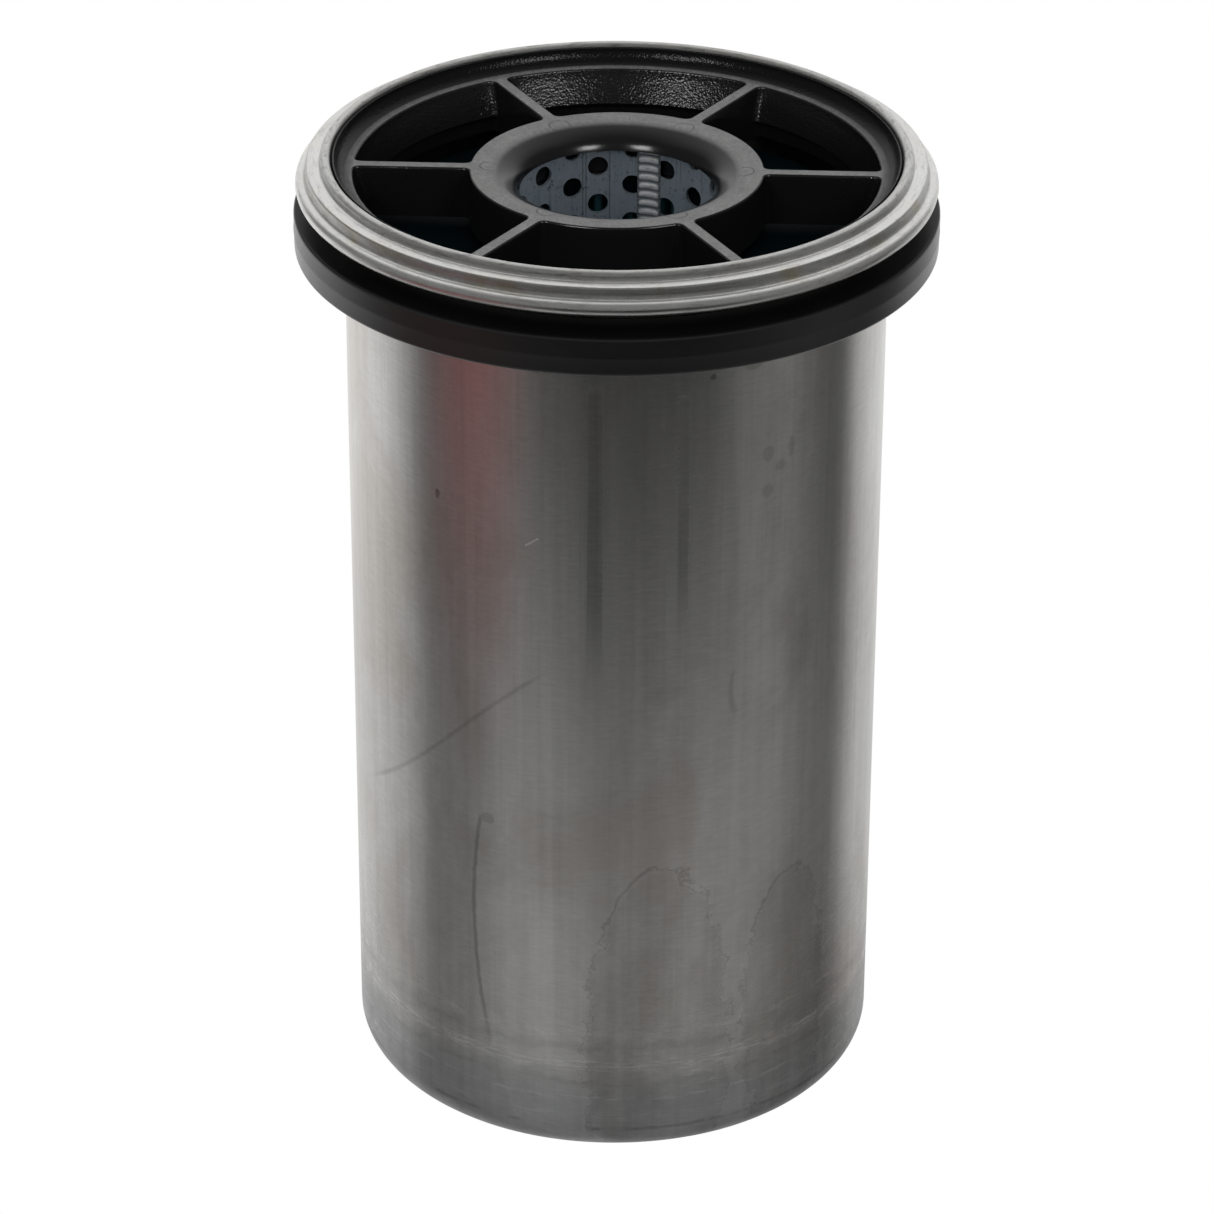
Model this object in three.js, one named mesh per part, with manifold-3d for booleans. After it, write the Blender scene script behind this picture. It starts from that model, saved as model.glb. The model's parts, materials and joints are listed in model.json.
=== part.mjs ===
// A disposable oil filter canister: a drawn steel can with a rolled rim ring, a square rubber
// gasket under its flange, a six-spoke nylon inlet plate, and a spring-loaded pleated element
// with a bypass valve in its lower end.
// Millimetres, +Z up along the can's axis, origin at the centre of the plane the can stands on.
import * as THREE from "three";
import { mergeVertices } from "three/addons/utils/BufferGeometryUtils.js";
import Module from "manifold-3d";

const wasm = await Module();
wasm.setup();

// Driving dimensions.
const FIT = 0.3; // assembly gap between neighbouring pieces

const CAN_R = 50; // outside of the can wall
const SHEET = 1.0; // can sheet
const CORNER_R = 6.5; // outside corner between wall and base
const PANEL_R = 33; // raised panel in the base
const PANEL_RISE = 2.0;
const FLARE_Z = 176.8; // where the wall starts to turn out into the flange
const FLARE_R = 3.3; // outside radius of that turn

const RIM_TOP = 186.85; // crest of the rim ring
const RIM_LIP_R = 52.25; // mouth of the rim ring
const RIM_FLAT = 185.1; // flat land outside the crest
const BEAD_R = 58.8; // outside of the rolled bead
const BEAD_WIRE = 1.7; // radius of the bead's own section

const GASKET_R = 59.3;
const GASKET_LOW = 169.2;
const GASKET_TOP = 176.5;
const GASKET_EDGE = 0.4;

const SPIDER_TOP = 183.2; // ledge, spokes and hub of the inlet plate are flush
const TONGUE_TOP = 183.5; // outer tongue of the inlet plate, held down by the rim
const COVE_TOP = 186.2; // the inlet plate's edge turns up inside the rim's mouth
const SPIDER_LOW = 173.5;
const SECTOR_R = 48.2; // outside of the inlet sectors at the top
const HUB_R = 27;
const THROAT_R = 17.8;
const THROAT_EDGE_W = 7; // width of the rounding of the throat's mouth
const SPOKES = 6;
const SPOKE_W = 2.7;

const TUBE_R = 21.1; // outside of the perforated centre tube
const TUBE_WALL = 0.7;
const TUBE_TOP = 180.2;
const HOLE_R = 1.7;
const HOLE_COLUMNS = 9;
const HOLE_ROWS = 10;

const CAP_R = 45; // outside of both element end caps
const CAP_TOP = 172;
const CAP_LOW = 18;
const CAP_SHEET = 1.2;
const PLEATS = 48;
const PLEAT_OUT = 43.6;
const PLEAT_IN = 22.2;
const MEDIA = 0.7; // thickness of the pleated sheet
const BAND_HEIGHTS = { lower: 58, middle: 95, upper: 132 };
const BAND_W = 5;

const SEAT_BORE = 8.5; // bypass port
const POPPET_R = 13;
const STEM_R = 2;
const CAGE_TOP = 45.7;
const CAGE_SHEET = 1;
const CUP_R = 34; // cup between the element and its support spring
const CUP_BORE = 24;

const ROUND = 36; // facets of the large turned pieces
const SMALL_ROUND = 20;

// ---------------------------------------------------------------- helpers

const p = (r, z) => new THREE.Vector2(r, z);

// Points of an arc in the (radius, height) plane, angles in degrees, both ends included.
function arc(r, z, radius, from, to, steps) {
  const points = [];
  for (let i = 0; i <= steps; i++) {
    const a = THREE.MathUtils.degToRad(from + ((to - from) * i) / steps);
    points.push(p(r + radius * Math.cos(a), z + radius * Math.sin(a)));
  }
  return points;
}

// Turns a closed outline of (radius, height) points about the Z axis.
function turned(outline, segments = ROUND) {
  const points = THREE.ShapeUtils.area(outline) > 0 ? [...outline] : [...outline].reverse();
  points.push(points[0].clone());
  return new THREE.LatheGeometry(points, segments).rotateX(Math.PI / 2);
}

// A ring of rectangular section.
function ring(inner, outer, low, high, segments = ROUND) {
  return turned([p(inner, low), p(outer, low), p(outer, high), p(inner, high)], segments);
}

// A box between two corners.
function block(x0, x1, y0, y1, z0, z1) {
  const box = new THREE.BoxGeometry(x1 - x0, y1 - y0, z1 - z0);
  return box.translate((x0 + x1) / 2, (y0 + y1) / 2, (z0 + z1) / 2);
}

function toSolid(geometry) {
  const bare = geometry.clone();
  bare.deleteAttribute("normal");
  bare.deleteAttribute("uv");
  const merged = mergeVertices(bare, 1e-4);
  const index = merged.index.array;
  const triVerts = [];
  for (let i = 0; i < index.length; i += 3) {
    const [a, b, c] = [index[i], index[i + 1], index[i + 2]];
    if (a !== b && b !== c && c !== a) triVerts.push(a, b, c);
  }
  const mesh = new wasm.Mesh({
    numProp: 3,
    vertProperties: merged.attributes.position.array,
    triVerts: new Uint32Array(triVerts),
  });
  return new wasm.Manifold(mesh);
}

function toGeometry(solid) {
  const mesh = solid.getMesh();
  const geometry = new THREE.BufferGeometry();
  geometry.setAttribute("position", new THREE.BufferAttribute(mesh.vertProperties, 3));
  geometry.setIndex(new THREE.BufferAttribute(mesh.triVerts, 1));
  geometry.computeVertexNormals();
  return geometry;
}

// The centre line of a compression spring whose first and last turns lie closed.
class CoilPath extends THREE.Curve {
  constructor(radius, low, high, turns, closedRise) {
    super();
    Object.assign(this, { radius, low, high, turns, closedRise });
  }

  getPoint(t, target = new THREE.Vector3()) {
    const wound = this.turns * t;
    const opened = THREE.MathUtils.clamp((wound - 1) / (this.turns - 2), 0, 1);
    const closed = Math.min(wound, 1) + Math.max(wound - this.turns + 1, 0);
    const openRise = this.high - this.low - 2 * this.closedRise;
    const a = 2 * Math.PI * wound;
    const z = this.low + openRise * opened + this.closedRise * closed;
    return target.set(this.radius * Math.cos(a), this.radius * Math.sin(a), z);
  }
}

// A wire coil that fills the height from low to high.
function coil(radius, wire, low, high, turns, stepsPerTurn) {
  const half = wire / 2;
  const section = new THREE.Shape(arc(0, 0, half, 0, 300, 5));
  return new THREE.ExtrudeGeometry(section, {
    steps: Math.round(turns * stepsPerTurn),
    bevelEnabled: false,
    extrudePath: new CoilPath(radius, low + half, high - half, turns, wire * 1.05),
  });
}

// ---------------------------------------------------------------- outer shell

const FLARE_CENTRE_R = CAN_R + FLARE_R;
const FLANGE_LOW = FLARE_Z + FLARE_R;
const FLANGE_TOP = FLANGE_LOW + SHEET;
const HOOK_LOW = FLANGE_TOP + FIT; // the flange's outer edge steps up over the rim's hem
const HOOK_TOP = HOOK_LOW + SHEET;
const HOOK_R = 57;

function canShell() {
  const cornerR = CAN_R - CORNER_R;
  const panelEdge = PANEL_R + 2.5;
  return turned([
    p(0, PANEL_RISE),
    p(PANEL_R, PANEL_RISE),
    p(panelEdge, 0),
    ...arc(cornerR, CORNER_R, CORNER_R, -90, 0, 5),
    ...arc(FLARE_CENTRE_R, FLARE_Z, FLARE_R, 180, 90, 4),
    p(54.4, FLANGE_LOW),
    p(54.7, HOOK_LOW),
    p(HOOK_R, HOOK_LOW),
    p(HOOK_R, HOOK_TOP),
    p(54.2, HOOK_TOP),
    p(53.9, FLANGE_TOP),
    ...arc(FLARE_CENTRE_R, FLARE_Z, FLARE_R + SHEET, 90, 180, 4),
    ...arc(cornerR, CORNER_R, CORNER_R - SHEET, 0, -90, 5),
    p(panelEdge, SHEET),
    p(PANEL_R, PANEL_RISE + SHEET),
    p(0, PANEL_RISE + SHEET),
  ]);
}

// The ring hooks over the flange from above and is rolled under it into the outer bead.
function rimRing() {
  const beadCentreR = BEAD_R - BEAD_WIRE;
  const beadZ = FLANGE_LOW + BEAD_WIRE;
  const clearHook = HOOK_R + FIT;
  return turned([
    p(55, FLANGE_LOW),
    ...arc(beadCentreR, beadZ, BEAD_WIRE, -90, 60, 6),
    p(56.95, 184.2),
    p(56.9, RIM_FLAT - 0.3),
    p(56.6, RIM_FLAT),
    p(55.1, RIM_FLAT),
    p(54.2, RIM_TOP - 0.85),
    p(53.6, RIM_TOP - 0.2),
    p(53, RIM_TOP),
    p(52.5, RIM_TOP - 0.2),
    p(RIM_LIP_R, RIM_TOP - 0.65),
    p(RIM_LIP_R, TONGUE_TOP + 2 * FIT),
    p(54.6, TONGUE_TOP + 0.4),
    p(56.4, TONGUE_TOP + FIT),
    p(56.4, HOOK_TOP + FIT),
    p(clearHook, HOOK_TOP + FIT),
    p(clearHook, FLANGE_TOP),
    p(55, FLANGE_TOP),
  ]);
}

function flangeGasket() {
  const inner = CAN_R + FIT;
  return turned([
    p(inner, GASKET_LOW),
    p(GASKET_R - GASKET_EDGE, GASKET_LOW),
    p(GASKET_R, GASKET_LOW + GASKET_EDGE),
    p(GASKET_R, GASKET_TOP - GASKET_EDGE),
    p(GASKET_R - GASKET_EDGE, GASKET_TOP),
    p(inner, GASKET_TOP),
  ]);
}

// ---------------------------------------------------------------- inlet plate

const SKIRT_R = 48.7;
const SKIRT_WALL = 1.5;

function spiderRing() {
  const sectorFootR = 46;
  const sectorFootZ = 177.6;
  const underLedge = HOOK_TOP + FIT;
  const edgeR = RIM_LIP_R - FIT;
  const coveR = 2.5;
  const coveFootR = edgeR - 0.3 - coveR;
  return turned([
    p(SECTOR_R, SPIDER_TOP),
    ...arc(coveFootR, SPIDER_TOP + coveR, coveR, -90, 0, 3),
    p(edgeR - 0.3, COVE_TOP),
    p(edgeR, COVE_TOP),
    p(edgeR, TONGUE_TOP),
    p(56, TONGUE_TOP),
    p(56, underLedge),
    p(54, underLedge),
    p(53.6, FLANGE_TOP + 0.4),
    p(52.2, FLANGE_TOP + 0.35),
    p(50.6, FLANGE_TOP - 0.25),
    p(49.35, FLANGE_TOP - 1.8),
    p(SKIRT_R, FLARE_Z + 0.4),
    p(SKIRT_R, SPIDER_LOW),
    p(SKIRT_R - SKIRT_WALL, SPIDER_LOW),
    p(SKIRT_R - SKIRT_WALL, sectorFootZ - 0.4),
    p(sectorFootR, sectorFootZ),
  ]);
}

function spiderHub() {
  const pocketR = TUBE_R + 0.6; // takes the top of the centre tube
  const pocketTop = TUBE_TOP + FIT;
  const mouthR = THROAT_R + THROAT_EDGE_W;
  const mouthSteps = 5;
  const mouth = [];
  for (let i = 0; i <= mouthSteps; i++) {
    const a = (Math.PI / 2) * (i / mouthSteps);
    const z = pocketTop + (SPIDER_TOP - pocketTop) * Math.sin(a);
    mouth.push(p(mouthR - THROAT_EDGE_W * Math.cos(a), z));
  }
  return turned([
    ...mouth,
    p(HUB_R - 0.5, SPIDER_TOP),
    p(HUB_R, SPIDER_TOP - 0.5),
    p(HUB_R - 0.6, SPIDER_LOW),
    p(pocketR, SPIDER_LOW),
    p(pocketR, pocketTop),
  ]);
}

function inletSpider() {
  let body = toSolid(spiderRing()).add(toSolid(spiderHub()));
  const half = SPOKE_W / 2;
  for (let i = 0; i < SPOKES; i++) {
    const spoke = block(HUB_R - 1, SECTOR_R + 0.2, -half, half, SPIDER_LOW + 0.5, SPIDER_TOP);
    body = body.add(toSolid(spoke.rotateZ((i * 2 * Math.PI) / SPOKES)));
  }
  return toGeometry(body);
}

// ---------------------------------------------------------------- element

const ON_CAP = CAP_LOW + CAP_SHEET + FIT; // what stands on the lower end cap starts here

// Holes are staggered: odd rows sit half a column further round.
function centreTube() {
  let tube = toSolid(ring(TUBE_R - TUBE_WALL, TUBE_R, ON_CAP, TUBE_TOP));
  const rise = (TUBE_TOP - ON_CAP) / HOLE_ROWS;
  const facet = (2 * Math.PI) / ROUND;
  const facetsPerColumn = ROUND / HOLE_COLUMNS;
  for (let column = 0; column < HOLE_COLUMNS; column++) {
    for (let row = 0; row < HOLE_ROWS; row++) {
      const stagger = (row % 2) * (facetsPerColumn / 2);
      const around = facet * (facetsPerColumn * column + stagger + 0.5);
      const punch = new THREE.CylinderGeometry(HOLE_R, HOLE_R, 4, 6).rotateZ(Math.PI / 2);
      punch.translate(TUBE_R, 0, ON_CAP + rise * (row + 0.5)).rotateZ(around);
      tube = tube.subtract(toSolid(punch));
    }
  }
  return toGeometry(tube);
}

// One closed zigzag sheet. Each pleat has a tip at the outside and a fold at the inside.
function pleatPack() {
  const half = Math.PI / PLEATS;
  const tip = 1.1; // half width of a pleat at its tip
  const groove = 0.2; // half width of the gap between two pleats at its root
  const at = (r, a) => p(r * Math.cos(a), r * Math.sin(a));
  const zigzag = (tipR, tipW, rootR, rootW) => {
    const points = [];
    for (let i = 0; i < PLEATS; i++) {
      const a = 2 * half * i;
      points.push(at(tipR, a - tipW / tipR), at(tipR, a + tipW / tipR));
      points.push(at(rootR, a + half - rootW / rootR), at(rootR, a + half + rootW / rootR));
    }
    return points;
  };
  const sheet = new THREE.Shape(zigzag(PLEAT_OUT, tip, PLEAT_IN + MEDIA, groove));
  const inside = zigzag(PLEAT_OUT - MEDIA, tip - MEDIA, PLEAT_IN, groove + MEDIA);
  sheet.holes.push(new THREE.Path(inside));
  const low = POTTING_LOW_TOP + FIT;
  const depth = POTTING_HIGH - FIT - low;
  return new THREE.ExtrudeGeometry(sheet, { depth, bevelEnabled: false }).translate(0, 0, low);
}

const CAP_HEM = 6; // height of an end cap's turned edge
const POTTING_LOW = CAP_LOW + 1.5;
const POTTING_LOW_TOP = CAP_LOW + 3.6;
const POTTING_HIGH = CAP_TOP - 3.4;
const POTTING_HIGH_TOP = CAP_TOP - 1.7;
const potting = (low, high) => ring(PLEAT_IN + 0.5, CAP_R - 1.3, low, high);

function topEndCap() {
  const bore = TUBE_R + 0.5;
  const under = CAP_TOP - CAP_SHEET;
  return turned([
    p(bore, CAP_TOP),
    p(CAP_R - 0.5, CAP_TOP),
    p(CAP_R, CAP_TOP - 0.5),
    p(CAP_R, CAP_TOP - CAP_HEM),
    p(CAP_R - 1, CAP_TOP - CAP_HEM),
    p(CAP_R - 1, under),
    p(bore + 0.8, under),
    p(bore + 0.8, CAP_TOP - 3),
    p(bore, CAP_TOP - 3),
  ]);
}

function bottomEndCap() {
  return turned([
    p(POPPET_R, CAP_LOW),
    p(CAP_R - 0.5, CAP_LOW),
    p(CAP_R, CAP_LOW + 0.5),
    p(CAP_R, CAP_LOW + CAP_HEM),
    p(CAP_R - 1, CAP_LOW + CAP_HEM),
    p(CAP_R - 1, CAP_LOW + CAP_SHEET),
    p(POPPET_R, CAP_LOW + CAP_SHEET),
  ]);
}

const mediaBand = (z) => ring(PLEAT_OUT + FIT, PLEAT_OUT + 0.9, z - BAND_W / 2, z + BAND_W / 2);
const hubSeal = () => ring(TUBE_R + 0.8, HUB_R - 0.8, CAP_TOP + FIT, SPIDER_LOW - FIT);

// ---------------------------------------------------------------- bypass valve

const SEAT_PLATE = ON_CAP + 1;
const SEAT_LIP = ON_CAP + 2.5;
const WASHER_TOP = SEAT_LIP + FIT + 1.5;
const POPPET_LOW = WASHER_TOP + FIT;
const POPPET_TOP = POPPET_LOW + 1.2;
const CLIP_LOW = CAGE_TOP + FIT;

function valveSeat() {
  const edge = TUBE_R - TUBE_WALL - 0.5;
  return turned([
    p(SEAT_BORE, ON_CAP),
    p(edge, ON_CAP),
    p(edge, SEAT_PLATE),
    p(SEAT_BORE + 2.5, SEAT_PLATE),
    p(SEAT_BORE + 1.9, SEAT_LIP - 0.4),
    p(SEAT_BORE + 1.1, SEAT_LIP),
    p(SEAT_BORE, SEAT_LIP - 0.4),
  ]);
}

const valveWasher = () =>
  ring(STEM_R + 0.6, POPPET_R - 0.5, SEAT_LIP + FIT, WASHER_TOP, SMALL_ROUND);

function valvePoppet() {
  const bossR = 6.6; // centres the spring
  const bossTop = POPPET_TOP + 1.2;
  const outline = [
    p(0, SEAT_LIP - 1),
    p(STEM_R, SEAT_LIP - 1),
    p(STEM_R, POPPET_LOW),
    p(POPPET_R, POPPET_LOW),
    p(POPPET_R, POPPET_TOP),
    p(bossR, POPPET_TOP),
    p(bossR, bossTop),
    p(STEM_R, bossTop),
    p(STEM_R, CAGE_TOP + 6),
    p(0, CAGE_TOP + 6),
  ];
  return turned(outline, SMALL_ROUND);
}

// A bridge on three legs that guides the stem and holds the spring down.
function valveCage() {
  const legR = 17.2;
  const footR = 14.3;
  const half = 3;
  const foot = SEAT_PLATE + FIT;
  const under = CAGE_TOP - CAGE_SHEET;
  let body = toSolid(ring(STEM_R + 0.4, 11, under, CAGE_TOP, SMALL_ROUND));
  for (let i = 0; i < 3; i++) {
    const leg = toSolid(block(legR - 1.2, legR, -half, half, foot, CAGE_TOP))
      .add(toSolid(block(9, legR, -half, half, under, CAGE_TOP)))
      .add(toSolid(block(footR, legR, -half, half, foot, foot + CAGE_SHEET)));
    body = body.add(leg.rotate([0, 0, 120 * i + 60]));
  }
  return toGeometry(body);
}

const valveSpring = () => coil(8, 1.3, POPPET_TOP + FIT, CAGE_TOP - CAGE_SHEET - FIT, 5, 12);
const stemClip = () => ring(STEM_R + FIT, STEM_R + 2.6, CLIP_LOW, CLIP_LOW + 0.8, SMALL_ROUND);

// ---------------------------------------------------------------- support spring

const CUP_TOP = CAP_LOW - FIT;

function springCup() {
  const skirtLow = CUP_TOP - 3.2;
  return turned([
    p(CUP_BORE, CUP_TOP - SHEET),
    p(CUP_R - 1, CUP_TOP - SHEET),
    p(CUP_R - 1, skirtLow),
    p(CUP_R, skirtLow),
    p(CUP_R, CUP_TOP),
    p(CUP_BORE, CUP_TOP),
  ]);
}

const supportSpring = () =>
  coil(29.5, 2.2, PANEL_RISE + SHEET + FIT, CUP_TOP - SHEET - FIT, 3.5, 20);

// ---------------------------------------------------------------- assembly

const steel = { color: 0x8d8c88, roughness: 0.38, metalness: 1 };
const rimSteel = { color: 0xb4b2ac, roughness: 0.32, metalness: 1 };
const zinc = { color: 0x8a949c, roughness: 0.5, metalness: 0.8 };
const springSteel = { color: 0x6f6f70, roughness: 0.35, metalness: 1 };
const rubber = { color: 0x161616, roughness: 0.6, metalness: 0 };
const nylon = { color: 0x2b2b2c, roughness: 0.55, metalness: 0 };
const teal = { color: 0x1f4e57, roughness: 0.8, metalness: 0 };
const resin = { color: 0x24444a, roughness: 0.5, metalness: 0 };

const canister = new THREE.Group();

function place(name, geometry, finish) {
  const mesh = new THREE.Mesh(geometry, new THREE.MeshStandardMaterial(finish));
  mesh.name = name;
  canister.add(mesh);
}

place("can_shell", canShell(), steel);
place("rim_ring", rimRing(), rimSteel);
place("flange_gasket", flangeGasket(), rubber);
place("inlet_spider", inletSpider(), nylon);
place("hub_seal", hubSeal(), rubber);
place("top_end_cap", topEndCap(), teal);
place("top_potting", potting(POTTING_HIGH, POTTING_HIGH_TOP), resin);
place("pleat_pack", pleatPack(), teal);
for (const [level, z] of Object.entries(BAND_HEIGHTS)) {
  place(`media_band_${level}`, mediaBand(z), resin);
}
place("centre_tube", centreTube(), zinc);
place("bottom_potting", potting(POTTING_LOW, POTTING_LOW_TOP), resin);
place("bottom_end_cap", bottomEndCap(), zinc);
place("valve_seat", valveSeat(), zinc);
place("valve_washer", valveWasher(), rubber);
place("valve_poppet", valvePoppet(), zinc);
place("valve_spring", valveSpring(), springSteel);
place("valve_cage", valveCage(), zinc);
place("stem_clip", stemClip(), springSteel);
place("spring_cup", springCup(), zinc);
place("support_spring", supportSpring(), springSteel);

export default canister;
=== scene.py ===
"""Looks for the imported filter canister: fine meshes on its CAD frame, materials and a studio.

Shapes are written in millimetres on the part's own axes and become metres when a mesh is made.
"""

import json
import math

import bmesh
import bpy
from mathutils import Matrix, Vector, noise


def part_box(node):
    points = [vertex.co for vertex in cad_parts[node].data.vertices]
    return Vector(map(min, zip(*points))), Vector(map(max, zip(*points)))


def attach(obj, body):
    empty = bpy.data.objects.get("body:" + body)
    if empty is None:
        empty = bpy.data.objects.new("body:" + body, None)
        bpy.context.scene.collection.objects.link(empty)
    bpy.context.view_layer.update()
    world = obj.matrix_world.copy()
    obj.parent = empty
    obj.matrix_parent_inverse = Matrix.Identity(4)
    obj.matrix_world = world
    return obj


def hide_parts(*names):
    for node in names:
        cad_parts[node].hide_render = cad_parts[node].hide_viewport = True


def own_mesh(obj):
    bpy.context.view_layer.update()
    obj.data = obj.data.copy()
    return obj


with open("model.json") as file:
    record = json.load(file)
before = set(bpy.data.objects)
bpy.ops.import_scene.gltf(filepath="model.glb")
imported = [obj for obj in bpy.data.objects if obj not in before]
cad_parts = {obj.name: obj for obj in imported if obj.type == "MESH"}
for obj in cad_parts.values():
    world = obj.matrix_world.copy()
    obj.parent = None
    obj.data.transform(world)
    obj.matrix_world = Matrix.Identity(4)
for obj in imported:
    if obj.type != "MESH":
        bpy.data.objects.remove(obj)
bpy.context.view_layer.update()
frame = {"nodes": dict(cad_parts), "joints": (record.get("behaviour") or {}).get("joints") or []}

MM = 0.001
FRONT = 2.5  # degrees that the viewing side is turned from -Y towards +X


# ---- measurements from the frame

def low(node):
    """Height of a CAD node's lowest point, in millimetres."""
    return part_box(node)[0].z / MM


def high(node):
    """Height of a CAD node's highest point, in millimetres."""
    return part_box(node)[1].z / MM


def reach(node):
    """Largest radius of a CAD node, in millimetres."""
    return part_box(node)[1].x / MM


CAN_R = 50.0
SHEET = 1.0
CORNER_R = 6.5
PANEL_R = 33.0
PANEL_RISE = 2.0
FLARE_R = 3.3
RIM_LOW = low("rim_ring")
FLARE_Z = RIM_LOW - FLARE_R
FLANGE_TOP = RIM_LOW + SHEET
HOOK_ROOT_R = 54.4  # where the flange's edge turns up into its hook
HOOK_R = reach("can_shell")
HOOK_TOP = high("can_shell")

RIM_TOP = high("rim_ring")
RIM_FLAT = RIM_TOP - 1.75
RIM_LIP_R = 52.25
CREST_R = 54.2  # outside of the crest
CREST_WIRE = 0.95  # radius of the crest's section
STEP_R = 56.8  # outside of the step between the land and the bead
BEAD_R = reach("rim_ring")
BEAD_WIRE = 1.4  # radius of the bead's section
UNDER_R = 55.0  # inside of the rim's flat underside

COVE_RISE = 3.0  # the plate's edge turns up inside the rim by this much
PLATE_TOP = high("inlet_spider") - COVE_RISE
PLATE_LOW = low("inlet_spider")
TONGUE_TOP = PLATE_TOP + 0.3
TONGUE_R = 56.0  # the plate's outer tongue, held between the can and the rim
SECTOR_R = 48.2
HUB_R = 27.0
THROAT_R = 17.8
MOUTH_DEPTH = 4.1  # the throat's mouth is rounded down to this depth, in two arcs
MOUTH_ARCS = [(8.73, 0, 40), (4.5, 40, 72)]  # radius, and slope at start and end in degrees
SPOKES = 6
SPOKE_W = 2.7
PIN_CIRCLE_R = 23.2  # radius of the circle through the hub's moulded pin marks
PIN_R = 1.9

TUBE_R = reach("centre_tube")
TUBE_WALL = 0.7
CAP_R = reach("top_end_cap")
CAP_SHEET = 1.2
FIT = 0.3


# ---- mesh helpers

def spread(start, end, steps):
    """Evenly spaced values from start to end."""
    return [start + (end - start) * i / steps for i in range(steps + 1)]


def arc(x, y, radius, start, end, steps):
    """Points on an arc about (x, y), from start to end in degrees."""
    angles = [math.radians(degrees) for degrees in spread(start, end, steps)]
    return [(x + radius * math.cos(a), y + radius * math.sin(a)) for a in angles]


def softened(outline, fillet, steps=3):
    """The closed outline with each corner off the axis turned into a small curve."""
    soft = []
    count = len(outline)
    for i, corner in enumerate(outline):
        if corner[0] < 1e-6:
            soft.append(corner)
            continue
        here = Vector(corner)
        before = Vector(outline[i - 1]) - here
        after = Vector(outline[(i + 1) % count]) - here
        cut = min(fillet, 0.45 * before.length, 0.45 * after.length)
        start = here + before.normalized() * cut
        end = here + after.normalized() * cut
        for t in spread(0, 1, steps):
            point = start * (1 - t) ** 2 + here * 2 * t * (1 - t) + end * t * t
            soft.append((point.x, point.y))
    return soft


def turned(outline, segments=192, wobble=None):
    """Vertices and faces of a closed outline of (radius, height) points turned about Z."""
    rings, vertices, faces = [], [], []
    for r, z in outline:
        if r < 1e-6:
            rings.append([len(vertices)] * segments)
            vertices.append((0, 0, z))
            continue
        rings.append(list(range(len(vertices), len(vertices) + segments)))
        for k in range(segments):
            a = 2 * math.pi * k / segments
            size = r + (wobble(a, r, z) if wobble else 0)
            vertices.append((size * math.cos(a), size * math.sin(a), z))
    for i, ring in enumerate(rings):
        after = rings[(i + 1) % len(rings)]
        if ring[0] == ring[1] and after[0] == after[1]:
            continue
        for k in range(segments):
            n = (k + 1) % segments
            corners = list(dict.fromkeys((ring[k], ring[n], after[n], after[k])))
            faces.append(corners)
    return vertices, faces


def tube_faces(rings, count):
    """Faces that join each ring of vertices to the next, and a face at each end."""
    faces = []
    for i in range(rings - 1):
        for k in range(count):
            n = (k + 1) % count
            a, b = i * count, (i + 1) * count
            faces.append((a + k, a + n, b + n, b + k))
    last = (rings - 1) * count
    return faces + [list(range(count)), list(range(last, last + count))]


def swept(path, radius, sides=14):
    """A round wire along a list of points, closed at both ends."""
    vertices = []
    for i, point in enumerate(path):
        ahead = path[min(i + 1, len(path) - 1)] - path[max(i - 1, 0)]
        side = ahead.cross(Vector((0, 0, 1))).normalized()
        up = side.cross(ahead).normalized()
        for k in range(sides):
            a = 2 * math.pi * k / sides
            vertices.append(point + side * radius * math.cos(a) + up * radius * math.sin(a))
    return vertices, tube_faces(len(path), sides)


def add_piece(name, shape, body, look, replaced=(), sharp=40):
    """Makes the mesh, smooth except at sharp edges, and puts it on its CAD body."""
    vertices, faces = shape
    material, slot = look
    mesh = bpy.data.meshes.new(name)
    mesh.from_pydata([Vector(v) * MM for v in vertices], [], faces)
    work = bmesh.new()
    work.from_mesh(mesh)
    bmesh.ops.remove_doubles(work, verts=work.verts, dist=1e-7)
    bmesh.ops.recalc_face_normals(work, faces=work.faces)
    work.to_mesh(mesh)
    work.free()
    mesh.shade_smooth()
    mesh.set_sharp_from_angle(angle=math.radians(sharp))
    mesh.materials.append(material)
    piece = bpy.data.objects.new(name, mesh)
    bpy.context.scene.collection.objects.link(piece)
    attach(piece, body)
    if replaced:
        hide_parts(*replaced)
    return piece


# ---- shapes: outer shell

def can_wobble(angle, r, z):
    """Slight unevenness of drawn sheet, none at the flange."""
    fade = min(1, max(0, (FLARE_Z - z) / 20))
    place = Vector((math.cos(angle) * 1.6, math.sin(angle) * 1.6, z / 55))
    return 0.07 * fade * noise.noise(place) * min(1, r / CAN_R)


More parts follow.
